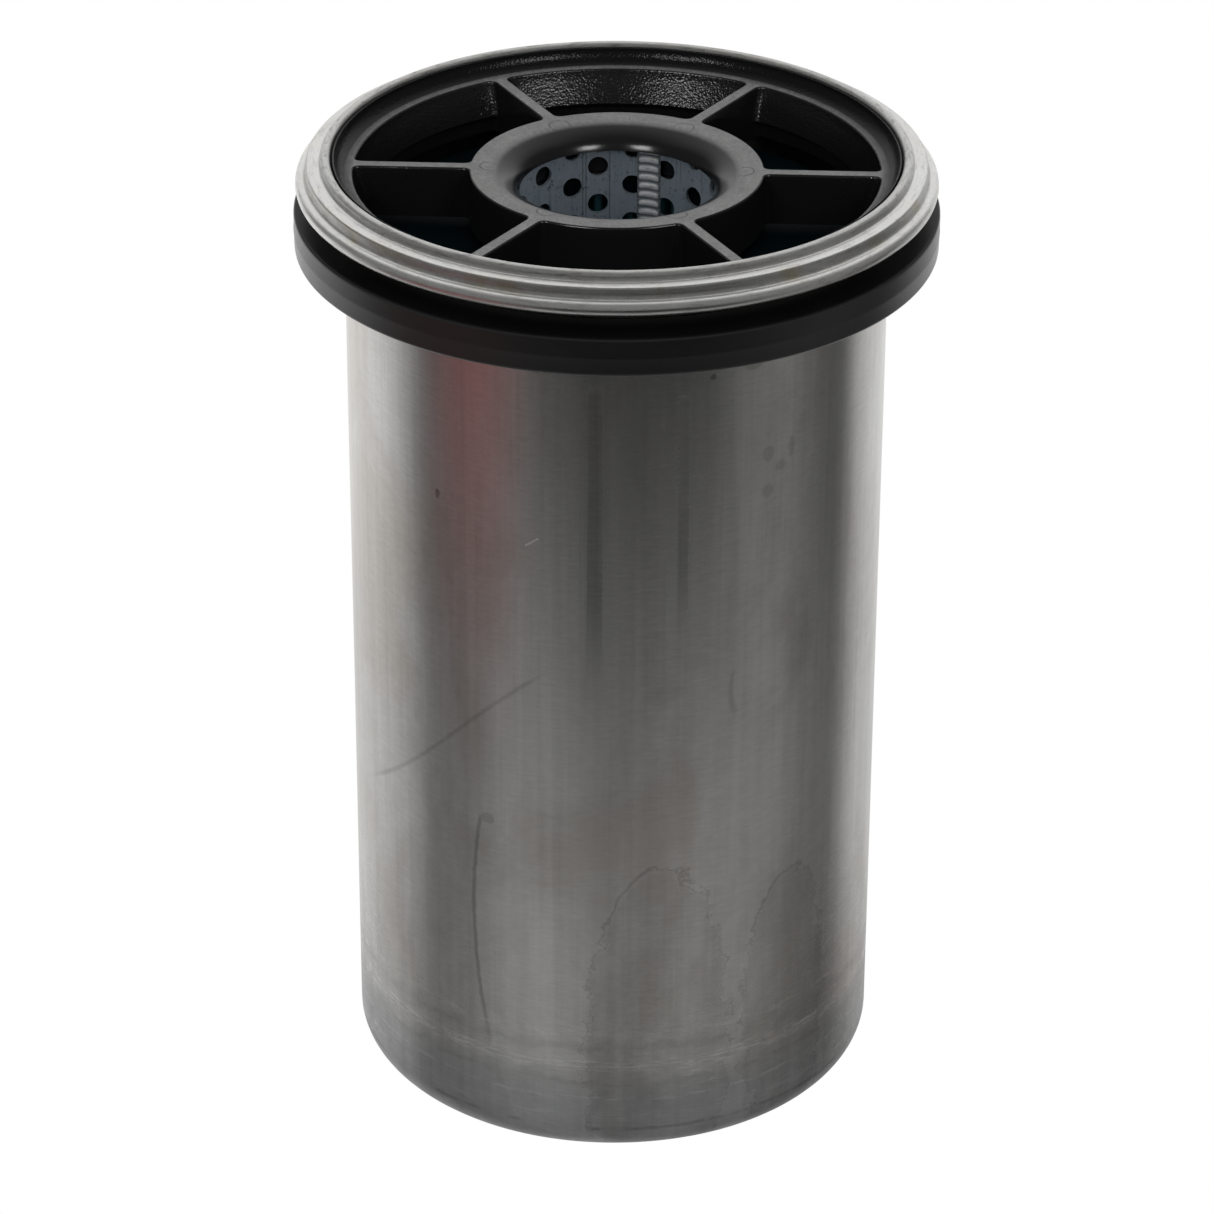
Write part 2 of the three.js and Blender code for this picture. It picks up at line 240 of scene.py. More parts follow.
def can_shape():
    corner = CAN_R - CORNER_R
    flare = CAN_R + FLARE_R
    foot = PANEL_R + 2.5
    wall = spread(CORNER_R, FLARE_Z, 60)[1:-1]
    outside = [(CAN_R, z) for z in wall]
    inside = [(CAN_R - SHEET, z) for z in reversed(wall)]
    outline = [
        (0, PANEL_RISE),
        (PANEL_R - 1.0, PANEL_RISE),
        (PANEL_R + 0.4, PANEL_RISE - 0.5),
        (foot - 0.8, 0.35),
        (foot + 0.8, 0),
        *arc(corner, CORNER_R, CORNER_R, -90, 0, 12),
        *outside,
        *arc(flare, FLARE_Z, FLARE_R, 180, 90, 8),
        (HOOK_ROOT_R, RIM_LOW),
        (HOOK_ROOT_R + 0.3, HOOK_TOP - SHEET),
        (HOOK_R, HOOK_TOP - SHEET),
        (HOOK_R, HOOK_TOP),
        (HOOK_ROOT_R - 0.2, HOOK_TOP),
        (HOOK_ROOT_R - 0.5, FLANGE_TOP),
        *arc(flare, FLARE_Z, FLARE_R + SHEET, 90, 180, 8),
        *inside,
        *arc(corner, CORNER_R, CORNER_R - SHEET, 0, -90, 12),
        (foot, SHEET),
        (PANEL_R, PANEL_RISE + SHEET),
        (0, PANEL_RISE + SHEET),
    ]
    return turned(outline, 256, can_wobble)


def rim_wobble(angle, r, z):
    """Faint dents from rolling, on the outside of the rim only."""
    if r < RIM_LIP_R + 0.1 or z < RIM_LOW + 0.1:
        return 0
    return 0.05 * noise.noise(Vector((math.cos(angle) * 7, math.sin(angle) * 7, z / 3)))


def rim_shape():
    bead = BEAD_R - BEAD_WIRE
    hook = HOOK_R + FIT
    slot_r = TONGUE_R + 0.4
    outline = [
        (UNDER_R, RIM_LOW),
        *arc(bead, RIM_LOW + BEAD_WIRE, BEAD_WIRE, -90, 84, 18),
        (STEP_R + 0.48, RIM_FLAT - 2.14),
        (STEP_R + 0.25, RIM_FLAT - 1.98),
        (STEP_R + 0.1, RIM_FLAT - 1.7),
        (STEP_R + 0.02, RIM_FLAT - 1.3),
        (STEP_R - 0.02, RIM_FLAT - 0.4),
        (STEP_R - 0.12, RIM_FLAT - 0.1),
        (STEP_R - 0.35, RIM_FLAT),
        (CREST_R + 0.4, RIM_FLAT),
        (CREST_R + 0.15, RIM_FLAT + 0.1),
        (CREST_R + 0.02, RIM_FLAT + 0.4),
        *arc(CREST_R - CREST_WIRE, RIM_TOP - CREST_WIRE, CREST_WIRE, 8, 172, 12),
        (RIM_LIP_R, RIM_TOP - 1.1),
        (RIM_LIP_R, TONGUE_TOP + 2 * FIT),
        (CREST_R + 0.4, TONGUE_TOP + 0.4),
        (slot_r, TONGUE_TOP + FIT),
        (slot_r, HOOK_TOP + FIT / 2),
        (hook, HOOK_TOP + FIT / 2),
        (hook, FLANGE_TOP),
        (UNDER_R, FLANGE_TOP),
    ]
    return turned(outline, 256, rim_wobble)


def gasket_wobble(angle, r, z):
    """A moulded ring is never quite true."""
    if r < CAN_R + 1:
        return 0
    return 0.12 * noise.noise(Vector((math.cos(angle) * 2.2, math.sin(angle) * 2.2, z / 9)))


def gasket_shape():
    inner = CAN_R + FIT
    outer = reach("flange_gasket") - 0.1
    bottom, top = low("flange_gasket"), high("flange_gasket")
    middle = (bottom + top) / 2
    flash = 0.07  # parting line round the outside
    outline = softened([(inner, bottom), (outer, bottom), (outer, top), (inner, top)], 0.7, 5)
    wall = [i for i in range(len(outline)) if abs(outline[i][0] - outer) < 1e-6]
    parting = [(outer, middle - 0.35), (outer + flash, middle), (outer, middle + 0.35)]
    at = wall[0] + 1
    return turned(outline[:at] + parting + outline[at:], 256, gasket_wobble)


# ---- shapes: inlet plate

EDGE = 0.45  # rounding along the plate's top edges


def sector_loop(turn, outer, inner, half, fillet):
    """Outline of one opening between two spokes: two arcs, two straight sides, round corners."""
    y = half + fillet
    inner_x = math.sqrt((inner + fillet) ** 2 - y ** 2)
    outer_x = math.sqrt((outer - fillet) ** 2 - y ** 2)
    inner_turn = math.degrees(math.atan2(y, inner_x))
    outer_turn = math.degrees(math.atan2(y, outer_x))
    middle = 180 / SPOKES
    points = arc(0, 0, inner, middle, inner_turn, 10)[:-1]
    points += arc(inner_x, y, fillet, inner_turn - 180, -90, 5)
    points += [(x, half) for x in spread(inner_x, outer_x, 5)[1:-1]]
    points += arc(outer_x, y, fillet, -90, outer_turn, 5)
    points += arc(0, 0, outer, outer_turn, middle, 14)[1:]
    mirrored = []
    for px, py in reversed(points[1:-1]):
        a = math.radians(2 * middle) - math.atan2(py, px)
        size = math.hypot(px, py)
        mirrored.append((size * math.cos(a), size * math.sin(a)))
    turned_by = Matrix.Rotation(turn, 2)
    return [turned_by @ Vector(q) for q in points + mirrored]


def sector_levels():
    """Height, outer radius, hub radius, half spoke width and corner radius, from the top down."""
    half = SPOKE_W / 2
    levels = []
    for k in range(5):
        a = math.radians(90 * k / 4)
        grow = EDGE * (1 - math.sin(a))
        z = PLATE_TOP - EDGE * (1 - math.cos(a))
        levels.append((z, SECTOR_R + grow, HUB_R - grow, half - grow, 1.2 + grow))
    foot = 6.2  # depth of the sloping outer wall
    for k in range(1, 5):
        t = k / 4
        drop = EDGE + (foot - EDGE) * t
        levels.append((PLATE_TOP - drop, SECTOR_R - 2.2 * t, HUB_R + 0.15 * t, half + 0.06 * t, 1.2))
    levels.append((PLATE_TOP - foot - 0.5, SECTOR_R - 1.9, HUB_R + 0.17, half + 0.07, 1.2))
    levels.append((PLATE_TOP - foot - 0.8, SECTOR_R - 1.0, HUB_R + 0.18, half + 0.07, 1.2))
    levels.append((PLATE_LOW, SECTOR_R - 1.0, HUB_R + 0.2, half + 0.1, 1.2))
    return levels


class Sheet:
    """A solid made of upright walls, closed by a flat top and a flat underside."""

    def __init__(self):
        self.mesh = bmesh.new()
        self.top_edges = []
        self.low_edges = []

    def loop(self, points, z):
        """A closed ring of vertices, and its edges."""
        made = [self.mesh.verts.new((x, y, z)) for x, y in points]
        edges = [self.mesh.edges.new(pair) for pair in zip(made, made[1:] + made[:1])]
        return made, edges

    def wall(self, rows):
        """Bands between the closed outlines of (points, height) rows, from the top down."""
        loops = [self.loop(points, z) for points, z in rows]
        for (upper, _), (lower, _) in zip(loops, loops[1:]):
            for i in range(len(upper)):
                n = (i + 1) % len(upper)
                self.mesh.faces.new((upper[i], upper[n], lower[n], lower[i]))
        self.top_edges += loops[0][1]
        self.low_edges += loops[-1][1]

    def shape(self):
        for edges in (self.top_edges, self.low_edges):
            bmesh.ops.triangle_fill(self.mesh, use_beauty=True, edges=edges, normal=(0, 0, 1))
        self.mesh.verts.index_update()
        vertices = [v.co.copy() for v in self.mesh.verts]
        faces = [[v.index for v in f.verts] for f in self.mesh.faces]
        self.mesh.free()
        return vertices, faces


def mouth_line():
    """The throat's rounding from the hub's flat top down to its narrowest circle."""
    falls = [(0.0, 0.0)]
    for radius, start, end in MOUTH_ARCS:
        inward, down = falls[-1]
        a = math.radians(start)
        for k in range(1, 11):
            b = math.radians(start + (end - start) * k / 10)
            across = radius * (math.sin(b) - math.sin(a))
            drop = radius * (math.cos(a) - math.cos(b))
            falls.append((inward + across, down + drop))
    widest = THROAT_R + falls[-1][0]
    return [(widest - inward, PLATE_TOP - down) for inward, down in falls]


def plate_shape():
    sheet = Sheet()
    segments = 192
    skirt = CAN_R - 1.3
    pocket = TUBE_R + 0.6
    pocket_top = high("centre_tube") + FIT
    spigot = TUBE_R - TUBE_WALL - 0.6  # reaches into the tube
    edge = RIM_LIP_R - FIT
    cove = 2.9
    under_ledge = HOOK_TOP + FIT
    for i in range(SPOKES):
        turn = 2 * math.pi * i / SPOKES
        sheet.wall([(sector_loop(turn, *sizes), z) for z, *sizes in sector_levels()])
    throat = mouth_line()
    throat += [(spigot, PLATE_TOP - MOUTH_DEPTH - 0.1), (spigot, pocket_top)]
    throat += [(pocket, pocket_top), (pocket, PLATE_LOW)]
    outside = [
        *arc(edge - 0.3 - cove, PLATE_TOP + cove, cove, -90, 0, 10),
        (edge - 0.25, PLATE_TOP + COVE_RISE - 0.1),
        (edge - 0.1, PLATE_TOP + COVE_RISE),
        (edge, PLATE_TOP + COVE_RISE - 0.1),
        (edge, TONGUE_TOP),
        (TONGUE_R, TONGUE_TOP),
        (TONGUE_R, under_ledge),
        (CAN_R + 4, under_ledge),
        (CAN_R + 3.6, FLANGE_TOP + 0.4),
        (CAN_R + 2.2, FLANGE_TOP + 0.35),
        (CAN_R + 0.6, FLANGE_TOP - 0.25),
        (CAN_R - 0.65, FLANGE_TOP - 1.8),
        (skirt, FLARE_Z + 0.4),
        (skirt, PLATE_LOW),
    ]
    for side in (throat, outside):
        sheet.wall([(arc(0, 0, r, 0, 360, segments)[:-1], z) for r, z in side])
    return sheet.shape()


# ---- shapes: element

HOLE_R = 1.95
COLUMNS = 20
PITCH = 7.5  # height from one hole to the next in a column
HOLE_Z = 175.0  # height of the highest whole hole
SEAM_TURN = 75.2  # degrees round the tube to the middle of its lock seam
LAP_TURN = 109.4  # degrees round the tube to the sheet's lap
LAP_GAP = 14.0  # degrees between the columns on either side of the lap
SIDE = 6  # steps along each side of a hole's cell


class TubeWall:
    """Punched sheet. Vertices are shared by their place on the unrolled sheet."""

    def __init__(self, inner, outer):
        self.radii = (inner, outer)
        self.vertices = []
        self.faces = []
        self.known = {}

    def at(self, place, layer):
        degrees, z = place
        key = (round(degrees % 360, 3) % 360, round(z, 3), layer)
        if key not in self.known:
            self.known[key] = len(self.vertices)
            a = math.radians(degrees)
            r = self.radii[layer]
            self.vertices.append((r * math.cos(a), r * math.sin(a), z))
        return self.known[key]

    def patch(self, corners):
        """The same face on the inside and the outside of the sheet."""
        self.faces.append([self.at(place, 0) for place in corners])
        self.faces.append([self.at(place, 1) for place in reversed(corners)])

    def edge(self, first, second):
        """A face through the sheet's thickness."""
        inside = [self.at(first, 0), self.at(second, 0)]
        self.faces.append(inside + [self.at(second, 1), self.at(first, 1)])

    def plain(self, across, heights):
        for a0, a1 in zip(across, across[1:]):
            for z0, z1 in zip(heights, heights[1:]):
                self.patch([(a0, z0), (a1, z0), (a1, z1), (a0, z1)])

    def holed(self, across, heights, middle, hole_z, radius=HOLE_R):
        """One cell of the pattern, with a round hole."""
        border = [(a, heights[0]) for a in across[:-1]]
        border += [(across[-1], z) for z in heights[:-1]]
        border += [(a, heights[-1]) for a in reversed(across[1:])]
        border += [(across[0], z) for z in reversed(heights[1:])]
        mm_per_degree = math.radians(self.radii[0])
        ring = []
        for a, z in border:
            toward = math.atan2(z - hole_z, (a - middle) * mm_per_degree)
            turn = middle + radius * math.cos(toward) / mm_per_degree
            ring.append((turn, hole_z + radius * math.sin(toward)))
        for k in range(len(border)):
            n = (k + 1) % len(border)
            self.patch([border[k], border[n], ring[n], ring[k]])
            self.edge(ring[k], ring[n])


def tube_shape():
    bottom, top = low("centre_tube"), high("centre_tube")
    wall = TubeWall(TUBE_R - TUBE_WALL, TUBE_R)
    half = SIDE // 2
    last = HOLE_Z + PITCH / 2
    rows = int((last - bottom) / PITCH - 0.5)
    first = last - PITCH * (rows + 0.5)
    heights = [bottom] + spread(first, last, SIDE * rows + half) + [top]
    step = (360 - LAP_GAP) / (COLUMNS - 1)
    middles = [LAP_TURN + LAP_GAP / 2 + step * i for i in range(COLUMNS)]
    edges = [LAP_TURN] + [middle + step / 2 for middle in middles[:-1]] + [LAP_TURN + 360]
    for column, middle in enumerate(middles):
        across = spread(edges[column], edges[column + 1], SIDE)
        staggered = column % 2 == 1
        begin = 1 + half if staggered else 1
        wall.plain(across, heights[: begin + 1])
        for row in range(rows):
            at = begin + SIDE * row
            cell = heights[at : at + SIDE + 1]
            wall.holed(across, cell, middle, (cell[0] + cell[-1]) / 2)
        rest = heights[begin + SIDE * rows :]
        if staggered:
            wall.plain(across, rest)
        else:
            small = HOLE_R - 0.3
            wall.holed(across, rest, middle, top - small - 0.15, small)
    rim = [a for left, right in zip(edges, edges[1:]) for a in spread(left, right, SIDE)[:-1]]
    rim.append(edges[-1])
    for a0, a1 in zip(rim, rim[1:]):
        wall.edge((a0, bottom), (a1, bottom))
        wall.edge((a0, top), (a1, top))
    return wall.vertices, wall.faces


def seam_shape():
    """The folded lock seam along the inside of the tube, crimped into a ladder."""
    wall = TUBE_R - TUBE_WALL
    half_width = 6.4  # degrees
    bar_pitch = 1.75
    bottom, top = low("centre_tube") + 0.2, PLATE_TOP - MOUTH_DEPTH - 0.4
    rows = int((top - bottom) / (bar_pitch / 10))
    across = spread(-1, 1, 10)
    vertices = []
    for z in spread(bottom, top, rows):
        crimp = 0.5 + 0.5 * math.cos(2 * math.pi * z / bar_pitch)
        for side in (0, 1):
            for s in across if side == 0 else reversed(across):
                a = math.radians(SEAM_TURN + half_width * s)
                fold = (1 - s ** 8) * (0.12 + 0.36 * crimp ** 0.6)
                r = wall + 0.05 if side else wall - 0.02 - fold
                lean = 0.25 * s * s  # the crimping wheel leaves slightly bowed bars
                vertices.append((r * math.cos(a), r * math.sin(a), z - (0 if side else lean)))
    return vertices, tube_faces(rows + 1, 2 * len(across))


PLEATS = 48
MEDIA = 0.7


def pleat_line():
    """Middle line of the folded sheet, once round."""
    tip_r, fold_r = 42.2, 23.2
    tip, fold = 1.0, 0.5
    line = []
    for i in range(PLEATS):
        at_tip = Matrix.Rotation(2 * math.pi * i / PLEATS, 2)
        at_fold = Matrix.Rotation(2 * math.pi * (i + 0.5) / PLEATS, 2)
        line += [at_tip @ Vector(point) for point in arc(tip_r, 0, tip, -90, 90, 8)]
        line += [at_fold @ Vector(point) for point in arc(fold_r, 0, fold, -90, -270, 6)]
    return line


def pleat_shape():
    line = pleat_line()
    count = len(line)
    bottom, top = low("pleat_pack"), high("pleat_pack")
    vertices, faces = [], []
    for z in (bottom, top):
        for side in (-MEDIA / 2, MEDIA / 2):
            for i in range(count):
                ahead = (line[(i + 1) % count] - line[i - 1]).normalized()
                point = line[i] + Vector((ahead.y, -ahead.x)) * side
                vertices.append((point.x, point.y, z))
    inner_low, outer_low, inner_high, outer_high = (count * k for k in range(4))
    for i in range(count):
        n = (i + 1) % count
        faces.append((outer_low + i, outer_low + n, outer_high + n, outer_high + i))
        faces.append((inner_low + n, inner_low + i, inner_high + i, inner_high + n))
        faces.append((inner_high + i, outer_high + i, outer_high + n, inner_high + n))
        faces.append((inner_low + i, inner_low + n, outer_low + n, outer_low + i))
    return vertices, faces


def top_cap_shape():
    bore = TUBE_R + 0.5
    top = high("top_end_cap")
    under = top - CAP_SHEET
    hem = low("top_end_cap")
    outline = [(bore, top), (CAP_R, top), (CAP_R, hem), (CAP_R - 1, hem), (CAP_R - 1, under)]
    outline += [(bore + 0.8, under), (bore + 0.8, top - 3), (bore, top - 3)]
    return turned(softened(outline, 0.4), 192)


def bottom_cap_shape():
    bore = 13.0
    base, hem = low("bottom_end_cap"), high("bottom_end_cap")
    outline = [(bore, base), (CAP_R, base), (CAP_R, hem), (CAP_R - 1, hem)]
    outline += [(CAP_R - 1, base + CAP_SHEET), (bore, base + CAP_SHEET)]
    return turned(softened(outline, 0.4), 192)


def box_ring(node, inner, fillet=0.25):
    """A ring between a bore and the CAD node's own outside, as high as the node."""
    outer, bottom, top = reach(node), low(node), high(node)
    outline = [(inner, bottom), (outer, bottom), (outer, top), (inner, top)]
    return turned(softened(outline, fillet), 160)


# ---- shapes: valve and springs

STEM_R = 2.0


def seat_shape():
    bore = 8.5
    bottom, top = low("valve_seat"), high("valve_seat")
    edge = reach("valve_seat")
    outline = [(bore, bottom), (edge, bottom), (edge, bottom + 1), (bore + 2.5, bottom + 1)]
    outline += [(bore + 1.9, top - 0.4), (bore + 1.1, top), (bore, top - 0.4)]
    return turned(softened(outline, 0.3), 96)


def poppet_shape():
    bottom, top = low("valve_poppet"), high("valve_poppet")
    plate = high("valve_washer") + FIT
    edge = reach("valve_poppet")
    boss = 6.6
    outline = [(0, bottom), (STEM_R, bottom), (STEM_R, plate), (edge, plate), (edge, plate + 1.2)]
    outline += [(boss, plate + 1.2), (boss, plate + 2.4), (STEM_R, plate + 2.4), (STEM_R, top), (0, top)]
    return turned(softened(outline, 0.3), 96)


def cup_shape():
    bore = 24.0
    bottom, top = low("spring_cup"), high("spring_cup")
    edge = reach("spring_cup")
    outline = [(bore, top - SHEET), (edge - SHEET, top - SHEET), (edge - SHEET, bottom)]
    outline += [(edge, bottom), (edge, top), (bore, top)]
    return turned(softened(outline, 0.45), 128)


def coil_shape(node, radius, wire, turns):
    """A compression spring with a closed turn at each end, as high as its CAD node."""
    bottom, top = low(node) + wire / 2, high(node) - wire / 2
    closed = wire * 1.05
    steps = int(turns * 48)
    path = []
    for i in range(steps + 1):
        wound = turns * i / steps
        opened = min(1, max(0, (wound - 1) / (turns - 2)))
        shut = min(wound, 1) + max(wound - turns + 1, 0)
        z = bottom + (top - bottom - 2 * closed) * opened + closed * shut
        a = 2 * math.pi * wound
        path.append(Vector((radius * math.cos(a), radius * math.sin(a), z)))
    return swept(path, wire / 2)


# ---- materials

class Field:
    """A value that nodes work out at each point, so that formulas read as plain arithmetic."""

    def __init__(self, graph, socket):
        self.graph = graph
        self.socket = socket

    def __add__(self, other):
        return self.graph.math("ADD", self, other)

    def __sub__(self, other):
        return self.graph.math("SUBTRACT", self, other)

    def __rsub__(self, other):
        return self.graph.math("SUBTRACT", other, self)

    def __mul__(self, other):
        return self.graph.math("MULTIPLY", self, other)

    __radd__ = __add__
    __rmul__ = __mul__

    def ease(self, start, end, low_value=0.0, high_value=1.0, shape="SMOOTHSTEP"):
        """Changes from low_value at start to high_value at end."""
        values = (self, start, end, low_value, high_value)
        return self.graph.node("MapRange", values, interpolation_type=shape)

    def fade(self, start, end):
        """1 at start, 0 at end."""
        return self.ease(start, end, 1.0, 0.0)

    def near(self, middle, start, end):
        """1 within start of the middle, 0 beyond end."""
        return self.graph.math("ABSOLUTE", self - middle).fade(start, end)

    def swing(self, size):
        """A value from 0 to 1 made to swing about zero."""
        return (self - 0.5) * size


class Graph:
    """Short names for building a node tree."""

    def __init__(self, tree):
        self.nodes = tree.nodes
        self.links = tree.links

    def join(self, source, socket):
        if isinstance(source, Field):
            self.links.new(source.socket, socket)
        elif socket.type == "RGBA":
            socket.default_value = (*source, 1.0)
        else:
            socket.default_value = source

    def node(self, kind, inputs=(), output=0, **settings):
        """Adds a node, with its inputs in order or by key, and gives one output."""
        made = self.nodes.new("ShaderNode" + kind)
        for name, value in settings.items():
            setattr(made, name, value)
        for key, value in inputs.items() if isinstance(inputs, dict) else enumerate(inputs):
            self.join(value, made.inputs[key])
        return Field(self, made.outputs[output])

    def math(self, operation, a, b=0.0):
        return self.node("Math", (a, b), operation=operation)

    def most(self, *values):
        top = values[0]
        for value in values[1:]:
            top = self.math("MAXIMUM", top, value)
        return top

    def hypot(self, a, b):
        return self.math("SQRT", a * a + b * b)

    def vector(self, operation, a, b):
        return self.node("VectorMath", (a, b), operation=operation)

    def parts(self, vector):
        """The x, y and z of a vector."""
        split = self.node("SeparateXYZ", (vector,)).socket.node
        return [Field(self, socket) for socket in split.outputs]

    def mix(self, first, second, share):
        """The first colour where share is 0, the second where it is 1."""
        sockets = {0: share, 6: first, 7: second}  # 1 to 5 are for numbers and vectors
        return self.node("Mix", sockets, output=2, data_type="RGBA")

    def ramp(self, value, start, end, stops):
        """Straight lines between (value, level) stops, from start to end."""
        colour = self.node("ValToRGB", (value.ease(start, end, shape="LINEAR"),))
        points = colour.socket.node.color_ramp.elements
        while len(points) < len(stops):
            points.new(0.5)
        for point, (place, level) in zip(points, stops):
            point.position = (place - start) / (end - start)
            point.color = (level, level, level, 1.0)
        return colour

    def shade(self, colour, amount):
        """The colour made lighter or darker by a factor."""
        return self.node("VectorMath", {"Vector": colour, "Scale": amount}, operation="SCALE")

    def ray(self, kind):
        """1 for rays of that kind, 0 for the others."""
        return self.node("LightPath", output=kind)

    def glow(self, colour):
        return self.node("Emission", (colour,))

    def either(self, share, first, second):
        """The first shader where share is 0, the second where it is 1."""
        return self.node("MixShader", (share, first, second))


class Recipe(Graph):
    """One procedural material. Lengths inside it are millimetres on the part's own axes."""

    def __init__(self, name):
        self.material = bpy.data.materials.new(name)
        self.material.use_nodes = True
        super().__init__(self.material.node_tree)
        self.shader = self.nodes["Principled BSDF"]
        place = self.node("TexCoord", output="Object")
        self.place = self.vector("MULTIPLY", place, (1 / MM,) * 3)
        self.x, self.y, self.z = self.parts(self.place)

    def radius(self):
        """Distance from the Z axis."""
        return self.hypot(self.x, self.y)

    def angle(self):
        """Turn round the Z axis, in radians."""
        return self.math("ARCTAN2", self.y, self.x)

    def noise(self, per_mm, detail, rough, place=None, warp=0.0):
        """Noise from 0 to 1. per_mm is its frequency, for all axes or for each."""
        scale = per_mm if isinstance(per_mm, tuple) else (per_mm,) * 3
        where = self.vector("MULTIPLY", place or self.place, scale)
        inputs = {"Vector": where, "Scale": 1.0, "Detail": detail, "Roughness": rough, "Distortion": warp}
        return self.node("TexNoise", inputs)

    def facing_up(self):
        """1 where the surface faces up, 0 on an upright wall."""
        return self.parts(self.node("NewGeometry", output="Normal"))[2]

    def put(self, key, value):
        self.join(value, self.shader.inputs[key])

    def bump(self, height, depth):
        """Bump of a given depth in millimetres for a height of 1."""
        self.put("Normal", self.node("Bump", {"Distance": depth * MM, "Height": height}))

    def hairlines(self, strength):
        """Brushed round Z, so that what is mirrored smears across the lines."""
        self.put("Tangent", self.node("Tangent", direction_type="RADIAL", axis="Z"))
        self.put("Anisotropic", strength)
        self.put("Anisotropic Rotation", 0.25)

    def finish(self, colour, rough, metal=0.0):
        self.put("Base Color", colour)
        self.put("Roughness", rough)
        self.put("Metallic", metal)
        return self.material


class CanSheet(Recipe):
    """Drawn bare sheet and the marks on it.

    A mark is placed by its turn round the can, in degrees from the viewer's side, and its height.
    """

    def __init__(self):
        super().__init__("can_steel")
        self.wobble = self.noise(0.2, 4, 0.6)
        self.jag = self.noise(0.55, 2, 0.6)
        self.hair = self.noise((0.32, 0.32, 1.9), 4, 0.7)
        self.grain = self.noise(2.2, 3, 0.7)
        self.cloud = self.noise((0.09, 0.09, 0.07), 5, 0.65, warp=1.0)
        around = self.math("ARCTAN2", self.x, self.y * -1)
        self.turn = around * math.degrees(1) - FRONT

    def oval(self, turn, height, half_turn, half_height, off_turn=0, off_height=0):
        """1 on an ellipse, less inside it and more outside."""
        across = (self.turn + off_turn - turn) * (1 / half_turn)
        up = (self.z + off_height - height) * (1 / half_height)
        return self.hypot(across, up)

    def drip(self, turn, height, half_turn, half_height, width=0.02):
        """Outline and inside of a dried drip, an ellipse with a warped edge."""
        warp = self.wobble.swing(10) + self.jag.swing(3.4)
        size = self.oval(turn, height, half_turn, half_height, warp, warp * 0.9)
        return size.near(1, 0.0, width), size.fade(0.94, 1.0)

    def streak(self, turn, half_turn, lowest, highest, fade_mm):
        """A long rubbed streak with straight sides, fading at its lower end."""
        inside = (self.turn + self.hair.swing(1.4)).near(turn, half_turn * 0.7, half_turn)
        return inside * self.z.ease(lowest, lowest + fade_mm) * self.z.fade(highest - 3, highest)

    def spot(self, turn, height, half_turn, half_height):
        ragged = self.grain.swing(1.2)
        return self.oval(turn, height, half_turn, half_height, ragged, ragged).fade(0.75, 1.1)

    def ring(self, height, half_width, uneven=4):
        """A band round the can."""
        return (self.z + self.wobble.swing(uneven)).near(height, 0.0, half_width)

    def run(self):
        """A thin bowed run of dried oil, and the faint film beside it."""
        bend = self.z - 52
        off = self.turn + 31.6 + bend * bend * -0.0045 + self.jag.swing(0.7)
        line = off.near(0, 0.15, 0.75) * self.z.ease(20, 34) * self.z.fade(71, 72)
        film = off.ease(-4.5, 0.0) * off.fade(0.2, 0.8) * self.z.fade(66, 70)
        return line, film

    def slant(self):
        """A long rubbed line that climbs to the right, on the left of the front."""
        wave = self.math("SINE", self.turn * 0.09) * 2.0
        line = (self.z + self.turn * -0.68 + wave).near(112.5, 0.1, 0.9)
        return line * self.turn.ease(-70, -60) * self.turn.fade(-20, -13)

    def scratch(self):
        """One short bright scratch."""
        line = (self.z + (self.turn + 17.5) * -0.62).near(131, 0.1, 0.35)
        return line * self.oval(-17.5, 131, 1.9, 1.6).fade(0.9, 1.0)

    def scuffs(self):
        """Bright broken rings near the foot."""
        wide = self.most(self.ring(20.5, 2.2), self.ring(9, 2) * 0.3)
        thin = self.most(self.ring(27.5, 0.7), self.ring(13, 0.6, 2)) * 0.6
        return self.noise((0.20, 0.20, 2.0), 5, 0.8).ease(0.44, 0.62) * self.most(wide, thin)

    def wear(self):
        """Fine scratches low on the sides, and in one patch in front."""
        sides = self.most(self.turn.fade(-68, -48), self.turn.ease(42, 62))
        patch = self.oval(21, 18, 7, 5).fade(0.3, 1.2)
        lines = self.noise((0.34, 0.34, 1.3), 5, 0.85, warp=0.7).ease(0.52, 0.68)
        return lines * self.z.fade(36, 62) * (self.most(sides, patch) * 0.9 + 0.10)


